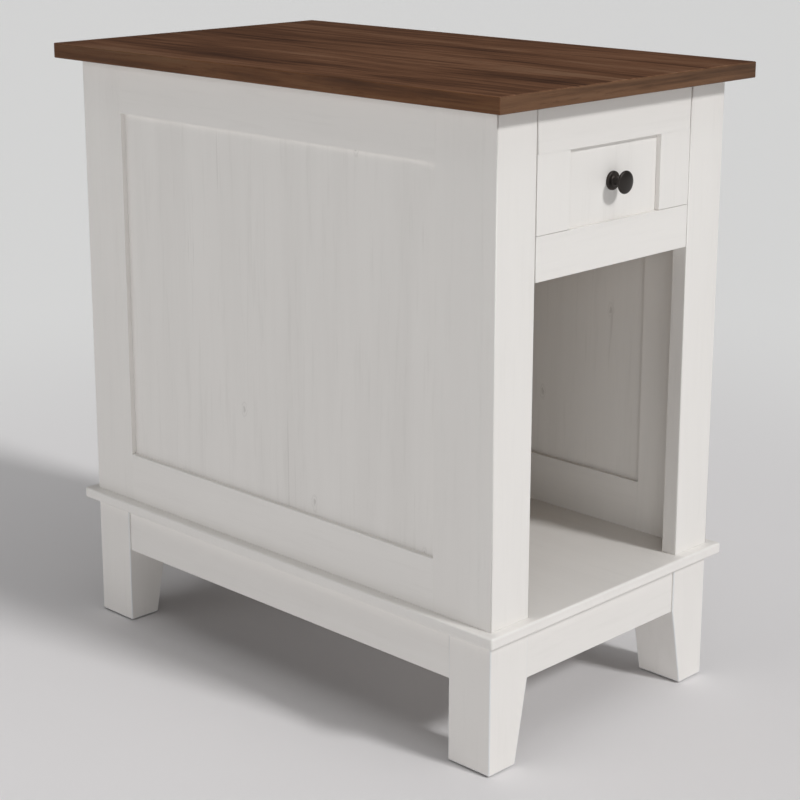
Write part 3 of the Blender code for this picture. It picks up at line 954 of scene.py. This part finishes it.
class Generator:
    """A Geometry Nodes tree with named inputs, run once to give a plain mesh."""

    def __init__(self, name: str, inputs: Sequence[tuple]) -> None:
        """Starts the tree, whose last input is the finish.

        Args:
            name: Its name.
            inputs: (name, socket type, default or None) of each input.
        """
        self.sheet = new_group(name, "GeometryNodeTree",
                               [*inputs, ("Finish", "NodeSocketMaterial", None)],
                               [("Geometry", "NodeSocketGeometry")])
        self.source = self.sheet.source()

    def finish_with(self, geometry: Any) -> None:
        """Ends the tree in Realize Instances and Set Material.

        Args:
            geometry: The geometry's socket.
        """
        real = self.sheet.node("GeometryNodeRealizeInstances", {"Geometry": geometry})
        dressed = self.sheet.node("GeometryNodeSetMaterial", {
            "Geometry": real.outputs[0], "Material": self.source["Finish"]})
        self.sheet.end(Geometry=dressed.outputs[0])

    def run(self, name: str, finish: Finish, **values: Any) -> bpy.types.Object:
        """Runs the tree and returns its result as a plain mesh object.

        Args:
            name: Name of the new object.
            finish: Its finish.
            values: The other inputs by name, with _ for a space.

        Returns:
            The new object, with no modifier.
        """
        holder = link_object(f"{name}_holder", bpy.data.meshes.new(f"{name}_holder"))
        modifier = holder.modifiers.new("maker", "NODES")
        modifier.node_group = self.sheet.tree
        names = {item.name: item.identifier for item in self.sheet.tree.interface.items_tree
                 if item.item_type == "SOCKET" and item.in_out == "INPUT"}
        for label, value in {**values, "Finish": finish.material()}.items():
            modifier[names[label.replace("_", " ")]] = value
        graph = bpy.context.evaluated_depsgraph_get()
        mesh = bpy.data.meshes.new_from_object(holder.evaluated_get(graph))
        holder.modifiers.remove(modifier)
        bpy.data.objects.remove(holder)
        mesh.name = name
        return link_object(name, mesh)


def tapered_foot_tree() -> Generator:
    """A square foot that narrows on its inner side below the rails.

    The foot's outer corner stands on the Z axis, and the foot runs towards Hand along X.

    Returns:
        The tree that makes it.
    """
    maker = Generator("tapered_foot", [
        ("Width", FLOAT, 0.05), ("Toe", FLOAT, 0.035), ("Depth", FLOAT, 0.05),
        ("Taper Height", FLOAT, 0.08), ("Straight Height", FLOAT, 0.05), ("Hand", FLOAT, 1.0)])
    sheet, source = maker.sheet, maker.source
    size = sheet.join(source["Width"], source["Depth"], source["Straight Height"])
    cube = sheet.node("GeometryNodeMeshCube", {"Size": size})
    half_width = sheet.times(source["Width"], 0.5)
    lift = sheet.math("ADD", source["Taper Height"], sheet.times(source["Straight Height"], 0.5))
    place = sheet.join(sheet.times(half_width, source["Hand"]), 0.0, lift)
    move = sheet.node("GeometryNodeTransform", {"Geometry": cube.outputs["Mesh"],
                                                "Translation": place})
    normal = sheet.split(sheet.node("GeometryNodeInputNormal").outputs[0])
    downward = sheet.node("FunctionNodeCompare", {0: normal[2], 1: -0.5}, operation="LESS_THAN")
    grow = sheet.node("GeometryNodeExtrudeMesh", {
        "Mesh": move.outputs[0], "Selection": downward.outputs[0],
        "Offset Scale": source["Taper Height"]}, mode="FACES")
    across, deep, height = sheet.split(sheet.node("GeometryNodeInputPosition").outputs[0])
    share = sheet.math("DIVIDE", source["Toe"], source["Width"])
    taper = sheet.node("GeometryNodeSetPosition", {
        "Geometry": grow.outputs["Mesh"], "Selection": sheet.math("LESS_THAN", height, 0.001),
        "Position": sheet.join(sheet.times(across, share), deep, height)})
    maker.finish_with(taper.outputs[0])
    return maker


class Head(Enum):
    """The small pieces that come in rows."""

    CROSS_SCREW = "cross_screw"
    PLUG = "plug"
    BALL = "ball"


@dataclass(frozen=True)
class FastenerRow:
    """A straight row of equal small pieces, made by one Geometry Nodes tree for each kind."""

    head: Head
    radius: float
    height: float            # how far a piece stands out on either side of its place
    finish: Finish
    _trees: ClassVar[dict[Head, Generator]] = {}

    @staticmethod
    def draw(head: Head) -> Generator:
        """Draws the tree for one kind of piece.

        Args:
            head: Kind of piece.

        Returns:
            Its tree.
        """
        maker = Generator(f"{head.value}_row", [
            ("Start", VECTOR, None), ("Step", VECTOR, None), ("Count", "NodeSocketInt", 2),
            ("Turn", VECTOR, None), ("Radius", FLOAT, 0.003), ("Height", FLOAT, 0.001)])
        sheet, source = maker.sheet, maker.source
        line = sheet.node("GeometryNodeMeshLine", {
            "Count": source["Count"], "Start Location": source["Start"],
            "Offset": source["Step"]}, mode="OFFSET")
        copies = sheet.node("GeometryNodeInstanceOnPoints", {
            "Points": line.outputs[0], "Instance": FastenerRow.draw_head(sheet, source, head),
            "Rotation": source["Turn"]})
        maker.finish_with(copies.outputs[0])
        return maker

    @staticmethod
    def draw_head(sheet: Sheet, source: Any, head: Head) -> Any:
        """Draws one piece, its axis along Z.

        Args:
            sheet: The tree's sheet.
            source: The tree's inputs.
            head: Kind of piece.

        Returns:
            The socket of its geometry.
        """
        radius, height = source["Radius"], source["Height"]
        if head is Head.BALL:
            ball = sheet.node("GeometryNodeMeshUVSphere",
                              {"Segments": 14, "Rings": 8, "Radius": radius})
            smooth = sheet.node("GeometryNodeSetShadeSmooth", {"Geometry": ball.outputs["Mesh"]})
            return smooth.outputs[0]
        disc = sheet.node("GeometryNodeMeshCylinder",
                          {"Vertices": 24, "Radius": radius, "Depth": sheet.times(height, 2.0)})
        if head is Head.PLUG:
            return disc.outputs["Mesh"]
        cut = sheet.node("GeometryNodeMeshBoolean", {"Mesh 1": disc.outputs["Mesh"]},
                         operation="DIFFERENCE", solver="EXACT")
        arm, width = (sheet.times(radius, share) for share in (1.15, 0.26))
        lift = sheet.join(0.0, 0.0, height)
        for sizes in ((arm, width), (width, arm)):
            slot = sheet.node("GeometryNodeMeshCube", {"Size": sheet.join(*sizes, height)})
            raised = sheet.node("GeometryNodeTransform", {"Geometry": slot.outputs["Mesh"],
                                                          "Translation": lift})
            sheet.feed(cut, "Mesh 2", raised.outputs[0])
        return cut.outputs["Mesh"]

    def build(self, name: str, body: Body, start: Point, step: Point, count: int,
              turn: Point = (0.0, 0.0, 0.0)) -> None:
        """Builds one row and settles it.

        Args:
            name: Name of the piece.
            body: The body it moves with.
            start: Place of the first.
            step: From each to the next.
            count: How many.
            turn: Turn of each, as angles round X, Y and Z.
        """
        if self.head not in self._trees:
            self._trees[self.head] = self.draw(self.head)
        row = self._trees[self.head].run(name, self.finish, Start=start, Step=step, Count=count,
                                         Turn=turn, Radius=self.radius, Height=self.height)
        settle(row, body, self.finish)


# ------------------------------------------------------------ sub-assemblies


@dataclass
class TopSlab:
    """The walnut-brown top, with banded edges."""

    node: str = "table_top"
    ease: float = 0.0011
    facing: float = 0.9          # a face belongs to an edge when it looks this much its way

    def build(self) -> None:
        """Builds the slab and gives its ends grain that runs along them."""
        slab = Board(self.node, Axis.Y, WALNUT_LONG, ease=self.ease).build()
        for finish in (WALNUT_CROSS, WALNUT_EDGE):
            slab.data.materials.append(finish.material())
        for face in slab.data.polygons:
            if abs(face.normal.y) > self.facing:
                face.material_index = 1
            elif abs(face.normal.x) > self.facing:
                face.material_index = 2


@dataclass
class SideFrame:
    """One side of the body: front post, stiles, rails and the sunk panel."""

    side: Side
    panel_trim: float = PANEL_TRIM
    soft_ease: float = 0.0006

    def build(self) -> None:
        """Builds the post, the two stiles, the two rails and the panel as far as it shows."""
        word, ends, sides = self.side.word, (Face.TOP, Face.BOTTOM), (Face.FRONT, Face.BACK)
        Board(f"front_post_{word}", Axis.Z, flush=(Face.BACK, *ends)).build()
        Board(f"side_front_stile_{word}", Axis.Z, flush=(Face.FRONT, *ends),
              crisp=(Face.BACK,)).build()
        Board(f"side_rear_stile_{word}", Axis.Z, flush=ends, crisp=(Face.FRONT,)).build()
        Board(f"side_top_rail_{word}", Axis.Y, flush=(*sides, Face.TOP),
              crisp=(Face.BOTTOM,)).build()
        Board(f"side_bottom_rail_{word}", Axis.Y, flush=(*sides, Face.BOTTOM),
              ease=self.soft_ease).build()
        Board(f"side_panel_{word}", Axis.Z, PAINT_PANEL, flush=(*sides, *ends),
              shift=-self.panel_trim).build()


@dataclass
class Carcase:
    """What ties the two sides together: back panel, stretchers and their screws."""

    panel_trim: float = PANEL_TRIM
    brad_radius: float = 0.0011
    brad_stands: float = 0.0003
    brad_count: int = 7
    brad_reach: float = 0.44          # share of the stretcher's length

    def build(self) -> None:
        """Builds the panel, the stretchers and the brads, and dresses the screws."""
        sides = (Face.LEFT, Face.RIGHT)
        Board("back_panel", Axis.Z, PAINT_PANEL, flush=sides, shift=-self.panel_trim,
              ease=0.0).build()
        for end in End:
            Board(f"{end.word}_stretcher", Axis.X, BIRCH, flush=sides).build()
            for side in Side:
                dress_node(f"top_screw_{end.word}_{side.word}", STEEL)
        self.build_brads()

    def build_brads(self) -> None:
        """Nails the top of the back panel to the stretcher in front of it."""
        panel, stretcher = Box.of_node("back_panel"), Box.of_node("back_stretcher")
        row = FastenerRow(Head.PLUG, self.brad_radius, self.brad_stands, STEEL)
        reach = stretcher.size.x * self.brad_reach
        step = 2 * reach / (self.brad_count - 1)
        row.build("back_panel_brads", Body.FRAME, (-reach, panel.high.y, stretcher.centre.z),
                  (step, 0.0, 0.0), self.brad_count, (math.pi / 2, 0.0, 0.0))


@dataclass
class Base:
    """The bottom board, base rails, tapered feet, glide pads and corner blocks."""

    toe: float = 0.035
    board_ease: float = 0.0020
    board_segments: int = 4
    foot_ease: float = 0.0012
    foot_segments: int = 3
    screw_radius: float = 0.0036
    screw_stands: float = 0.0012
    foot_tree: Generator = field(default_factory=tapered_foot_tree)

    def build(self) -> None:
        """Builds the board, the rails and the four corners."""
        Board("bottom_board", Axis.Y, ease=self.board_ease, segments=self.board_segments).build()
        for side in Side:
            Board(f"base_rail_{side.word}", Axis.Y, flush=(Face.TOP,)).build()
        for end in End:
            Board(f"base_rail_{end.word}", Axis.X, flush=(Face.TOP,)).build()
            for side in Side:
                self.build_foot(end, side)
                dress_node(f"glide_{end.word}_{side.word}", NYLON)
                dress_node(f"corner_block_{end.word}_{side.word}", BIRCH_BLOCK)
                self.build_block_screws(end, side)

    def build_block_screws(self, end: End, side: Side) -> None:
        """Builds the two screws in the long face of a corner block.

        Args:
            end: Front or back.
            side: Left or right.
        """
        block = Box.of_node(f"corner_block_{end.word}_{side.word}")
        row = FastenerRow(Head.CROSS_SCREW, self.screw_radius, self.screw_stands, STEEL)
        heading = math.atan2(-end.sign, -side.sign)
        gap = block.size.z / 2
        start = (block.centre.x, block.centre.y, block.centre.z - gap / 2)
        row.build(f"corner_block_screws_{end.word}_{side.word}", Body.FRAME, start,
                  (0.0, 0.0, gap), 2, (0.0, math.pi / 2, heading))

    def build_foot(self, end: End, side: Side) -> None:
        """Builds one foot.

        Args:
            end: Front or back.
            side: Left or right.
        """
        node = f"foot_{end.word}_{side.word}"
        box = Box.of_node(node).pushed({Face.TOP: CLOSE_UP})
        taper = Box.of_node("base_rail_front").low.z - box.low.z
        foot = self.foot_tree.run(
            f"{node}_wood", PAINT_PLAIN, Width=box.size.x, Toe=self.toe, Depth=box.size.y,
            Taper_Height=taper, Straight_Height=box.size.z - taper, Hand=-float(side.sign))
        bm = bmesh.new()
        bm.from_mesh(foot.data)
        place = (box.outer_x(side), box.centre.y, box.low.z)
        bmesh.ops.translate(bm, vec=place, verts=bm.verts)
        bmesh.ops.remove_doubles(bm, verts=bm.verts, dist=0.00001)
        bmesh.ops.recalc_face_normals(bm, faces=bm.faces)
        top = box.high.z - 0.0001
        rounded = [edge for edge in bm.edges if edge.calc_face_angle(0.0) > CREASE
                   and not all(vert.co.z > top for vert in edge.verts)]
        round_edges(bm, rounded, self.foot_ease, self.foot_segments)
        bm.to_mesh(foot.data)
        bm.free()
        board_marks(foot, box, Axis.Z, node)
        settle(foot, Body.FRAME, PAINT_PLAIN, node)


@dataclass
class Knob:
    """The turned knob on its rosette. The knob's shares are of its radius."""

    neck: float = 0.38
    rim: float = 0.135
    crown: float = 0.134
    fillet: float = 0.33
    head_back: float = 0.597         # where the head's back is, as a share of the reach
    dome: tuple[tuple[float, float], ...] = ((0.25, 0.06), (0.5, 0.26), (0.7, 0.55))
    lip: float = 0.5                 # share of the rosette's thickness

    def build(self) -> None:
        """Builds the rosette and the knob, and dresses the screw."""
        self.turn("knob_rosette", self.rosette_outline)
        self.turn("knob", self.knob_outline)
        dress_node("knob_screw", STEEL)

    def turn(self, node: str, outline: Callable[[float, float], Outline]) -> None:
        """Turns one piece and settles it.

        Args:
            node: The node that it stands for.
            outline: Gives its outline from its radius and its reach.
        """
        box = Box.of_node(node)
        seat = Vector((box.centre.x, box.high.y, box.centre.z))
        piece = lathe(f"{node}_metal", outline(box.size.x / 2, box.size.y), seat)
        piece.data.materials.append(BRONZE.material())
        settle(piece, Body.DRAWER, BRONZE, node)

    def rosette_outline(self, radius: float, thick: float) -> Outline:
        """Returns a flat disc with a rounded rim."""
        lip = thick * self.lip
        return [(0.0, thick), (radius - lip * 1.6, thick),
                *arc((radius - lip, thick - lip), lip, 75, 0, 6), (radius, 0.0), (0.0, 0.0)]

    def knob_outline(self, radius: float, reach: float) -> Outline:
        """Gives the knob's outline: a domed head, a rounded rim and a neck with fillets.

        Args:
            radius: Radius of the head.
            reach: How far the knob stands out.

        Returns:
            The outline.
        """
        neck, rim, crown, fillet = (radius * share for share in (self.neck, self.rim, self.crown,
                                                                 self.fillet))
        dome = [(radius * out, reach - crown * drop) for out, drop in self.dome]
        foot = fillet * 0.5
        return [(0.0, reach), *dome,
                *arc((radius - rim, reach - crown - rim), rim, 68, -62, 12),
                *arc((neck + fillet, reach * self.head_back - fillet), fillet, 90, 180, 8),
                *arc((neck + foot, foot), foot, 180, 250, 4),
                (neck + fillet * 0.4, 0.0), (0.0, 0.0)]


@dataclass
class Drawer:
    """The drawer: framed front with a sunk panel, box and knob."""

    panel_trim: float = PANEL_TRIM
    stile_shift: float = 0.0004
    stile_ease: float = 0.0006
    bottom_rail_ease: float = 0.0007
    dowel_radius: float = 0.0035
    dowel_stands: float = 0.00012
    dowel_count: int = 4
    knob: Knob = field(default_factory=Knob)

    def build(self) -> None:
        """Builds the front, the box and the knob."""
        self.build_front()
        self.build_box()
        self.knob.build()

    def board(self, name: str, run: Axis, finish: Finish = PAINT_PLAIN, **rest: Any) -> None:
        """Builds one of the drawer's boards, whose other settings are the Board's."""
        Board(f"drawer_{name}", run, finish, Body.DRAWER, **rest).build()

    def build_front(self) -> None:
        """Builds the rails, stiles and panel of the drawer front."""
        self.board("front_top_rail", Axis.X, crisp=(Face.BOTTOM,))
        self.board("front_bottom_rail", Axis.X, crisp=(Face.TOP,), ease=self.bottom_rail_ease)
        for side in Side:
            self.board(f"front_stile_{side.word}", Axis.Z, flush=(Face.TOP,),
                       shift=self.stile_shift, ease=self.stile_ease)
        self.board("front_panel", Axis.Z, flush=(Face.LEFT, Face.RIGHT, Face.TOP, Face.BOTTOM),
                   shift=-self.panel_trim)

    def build_box(self) -> None:
        """Builds the boards of the drawer's box."""
        sides = (Face.LEFT, Face.RIGHT)
        for side in Side:
            self.board(f"side_{side.word}", Axis.Y, BIRCH)
        for name in ("inner_front", "back"):
            self.board(name, Axis.X, BIRCH, flush=sides)
        self.board("bottom", Axis.Y, BIRCH, flush=(*sides, Face.FRONT, Face.BACK),
                   shift=-self.panel_trim, ease=0.0)
        self.build_dowels()

    def build_dowels(self) -> None:
        """Builds the ends of the dowels that hold the drawer's corners."""
        row = FastenerRow(Head.PLUG, self.dowel_radius, self.dowel_stands, DOWEL)
        for side in Side:
            wall = Box.of_node(f"drawer_side_{side.word}")
            step = wall.size.z / self.dowel_count
            for board in ("drawer_inner_front", "drawer_back"):
                start = (wall.outer_x(side), Box.of_node(board).centre.y, wall.low.z + step / 2)
                row.build(f"{board}_dowels_{side.word}", Body.DRAWER, start, (0.0, 0.0, step),
                          self.dowel_count, (0.0, math.pi / 2, 0.0))


@dataclass
class Runners:
    """The telescopic runners of the drawer, their balls and screws, and their strips."""

    ball_radius: float = 0.00145
    ball_gap: float = 0.0095
    ball_inset: float = 0.012
    screw_radius: float = 0.0032
    screw_stands: float = 0.0007
    screw_inset: float = 0.035
    screw_count: int = 3
    sheet_steel: float = 0.0012

    def build(self) -> None:
        """Builds the runner of each side."""
        for side in Side:
            Board(f"runner_strip_{side.word}", Axis.Y, BIRCH, flush=(side.outer,)).build()
            for member in ("fixed", "middle", "drawer"):
                dress_node(f"runner_{member}_{side.word}", STEEL)
            self.build_balls(side)
            self.build_screws(side)

    def build_balls(self, side: Side) -> None:
        """Builds the rows of balls that run above and below the middle member.

        The rear half runs in the fixed member, and the front half round the drawer's.

        Args:
            side: Left or right.
        """
        fixed, middle, inner = (Box.of_node(f"runner_{member}_{side.word}")
                                for member in ("fixed", "middle", "drawer"))
        row = FastenerRow(Head.BALL, self.ball_radius, 0.0, BRIGHT_STEEL)
        body = Body.RUNNER_RIGHT if side is Side.RIGHT else Body.RUNNER_LEFT
        centre = middle.centre
        count = int((middle.size.y / 2 - 2 * self.ball_inset) / self.ball_gap)
        outer_track = (fixed.high.z - self.sheet_steel + middle.high.z) / 2
        inner_track = (middle.high.z - self.sheet_steel + inner.high.z) / 2
        for name, height, rear in (("outer", outer_track, centre.y),
                                   ("inner", inner_track, middle.low.y)):
            for place, level in (("upper", height), ("lower", 2 * centre.z - height)):
                row.build(f"runner_{name}_{place}_balls_{side.word}", body,
                          (centre.x, rear + self.ball_inset, level), (0.0, self.ball_gap, 0.0),
                          count)

    def build_screws(self, side: Side) -> None:
        """Builds the screws that hold the fixed and the drawer member.

        Args:
            side: Left or right.
        """
        row = FastenerRow(Head.CROSS_SCREW, self.screw_radius, self.screw_stands, STEEL)
        for member, body, looks in (("fixed", Body.FRAME, -side.sign),
                                    ("drawer", Body.DRAWER, side.sign)):
            rail = Box.of_node(f"runner_{member}_{side.word}")
            web = rail.high.x if looks < 0 else rail.low.x
            start = (web + looks * self.sheet_steel, rail.low.y + self.screw_inset, rail.centre.z)
            step = (rail.size.y - 2 * self.screw_inset) / (self.screw_count - 1)
            row.build(f"runner_{member}_screws_{side.word}", body, start, (0.0, step, 0.0),
                      self.screw_count, (0.0, looks * math.pi / 2, 0.0))


# -------------------------------------------------------------------- studio


@dataclass(frozen=True)
class Viewpoint:
    """The camera's place, direction and lens."""

    place: Point = (-1.3335, -1.3191, 0.8089)
    turn: float = -45.38
    tilt: float = -14.415
    lens: float = 87.07
    sensor: float = 36.0
    shift: tuple[float, float] = (0.01, -0.08)
    sight: float = 100.0

    def build(self) -> None:
        """Adds the camera and makes it the scene's."""
        data = bpy.data.cameras.new("camera")
        data.lens, data.sensor_width, data.clip_end = self.lens, self.sensor, self.sight
        data.shift_x, data.shift_y = self.shift
        camera = link_object("camera", data)
        camera.location = self.place
        camera.rotation_euler = (math.radians(90 + self.tilt), 0.0, math.radians(self.turn))
        bpy.context.scene.camera = camera


@dataclass(frozen=True)
class SoftLight:
    """A wide, even light from far away. Its azimuth turns from the table's front to its right."""

    name: str
    azimuth: float
    elevation: float
    spread: float
    strength: float

    def build(self) -> None:
        """Adds the light."""
        data = bpy.data.lights.new(self.name, "SUN")
        data.angle = math.radians(self.spread)
        data.energy = self.strength
        turn, rise = math.radians(self.azimuth), math.radians(self.elevation)
        source = Vector((math.sin(turn) * math.cos(rise), -math.cos(turn) * math.cos(rise),
                         math.sin(rise)))
        light = link_object(self.name, data)
        light.rotation_euler = (-source).to_track_quat("-Z", "Y").to_euler()


@dataclass
class Studio:
    """Plain floor, soft lights, sky and camera."""

    backdrop: Colour = (0.66, 0.66, 0.655)
    sky_strength: float = 0.03
    floor_size: float = 200.0
    view: Viewpoint = Viewpoint()
    lights: tuple[SoftLight, ...] = (
        SoftLight("key", 8.0, 37.0, 8.0, 1.63),
        SoftLight("fill", -50.0, 0.0, 40.0, 0.93),
        SoftLight("side_fill", -118.0, 0.0, 50.0, 0.86),
        SoftLight("overhead", 0.0, 85.0, 60.0, 1.05),
    )

    def build(self) -> None:
        """Builds the whole studio."""
        bpy.context.scene.view_settings.view_transform = "Standard"
        self.view.build()
        for light in self.lights:
            light.build()
        self.build_sky()
        bm = bmesh.new()
        bmesh.ops.create_grid(bm, x_segments=1, y_segments=1, size=self.floor_size / 2)
        floor = link_mesh("floor", bm)
        floor.data.materials.append(STUDIO.material())

    def build_sky(self) -> None:
        """Builds an even sky that the camera sees as a pale backdrop."""
        world = bpy.data.worlds.new("sky")
        bpy.context.scene.world = world
        world.use_nodes = True
        sheet = Sheet(world.node_tree)
        glow = world.node_tree.nodes["Background"]
        sheet.feed(glow, "Color", WHITE)
        sheet.feed(glow, "Strength", self.sky_strength)
        seen = sheet.node("ShaderNodeBackground", {"Color": rgba(self.backdrop)})
        by_camera = sheet.node("ShaderNodeLightPath").outputs["Is Camera Ray"]
        choice = sheet.node("ShaderNodeMixShader", {0: by_camera, 1: glow.outputs[0],
                                                    2: seen.outputs[0]})
        sheet.feed(world.node_tree.nodes["World Output"], "Surface", choice.outputs[0])


def main() -> None:
    """Builds the studio and the table in order."""
    logging.basicConfig(level=logging.INFO, format="%(name)s: %(message)s")
    Studio().build()
    TopSlab().build()
    for side in Side:
        SideFrame(side).build()
    Carcase().build()
    Base().build()
    Drawer().build()
    Runners().build()


if __name__ == "__main__":
    main()
